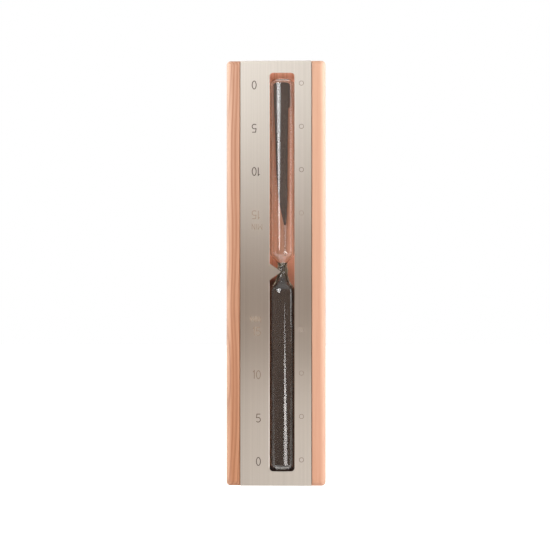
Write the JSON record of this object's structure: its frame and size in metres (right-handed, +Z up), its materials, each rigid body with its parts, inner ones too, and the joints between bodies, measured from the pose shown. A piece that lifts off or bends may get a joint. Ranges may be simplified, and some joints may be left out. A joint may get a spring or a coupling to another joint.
{
  "type": "sauna sand timer",
  "caption": "Wall-hung sand timer: a wooden body with a brushed steel face and a two-bulb glass vial of dark sand, which turns end over end on a friction pivot.",
  "frame": {"origin": "on the pivot axis, in the plane of the wall, between the bracket's two screw holes", "axes": "+Z up along the timer's length, +X to the right seen from the front, +Y into the wall; the face looks towards -Y"},
  "size_m": [0.07, 0.0402, 0.3],
  "materials": {
    "cedar": "oiled, straight grained",
    "brushed_face": "brushed lengthwise",
    "tape": "matt foam tape",
    "ink": "matt dark print",
    "vial_glass": "clear, polished",
    "sand": "fine dark grains",
    "felt": "felt",
    "zinc_steel": "zinc plated",
    "screw_steel": "zinc plated",
    "bush_brass": "turned",
    "bracket_steel": "zinc plated, pressed",
    "stud_steel": "turned",
    "nylon": "natural nylon",
    "spring_steel": "dark spring steel"
  },
  "bodies": {
    "wall_mount": {"wall_bracket": "bracket_steel", "pivot_stud": "stud_steel", "thrust_washer": "nylon", "flat_washer": "zinc_steel", "spring_washer": "spring_steel", "lock_nut": "zinc_steel", "nut_insert": "nylon"},
    "timer": {"wood_body": "cedar", "face_plate": "brushed_face", "plate_tape_left": "tape", "plate_tape_right": "tape", "scale_numerals": "ink", "scale_rings": "ink", "glass_vial": "vial_glass", "sand_upper": "sand", "sand_lower": "sand", "vial_pad_upper": "felt", "vial_pad_lower": "felt", "bearing_plate": "zinc_steel", "bearing_screws": "screw_steel", "pivot_bush": "bush_brass"}
  },
  "joints": [
    {"name": "turn_over", "type": "hinge", "parent": "wall_mount", "child": "timer", "pos_m": [0, 0, 0], "axis": [0, 1, 0], "continuous": true}
  ]
}
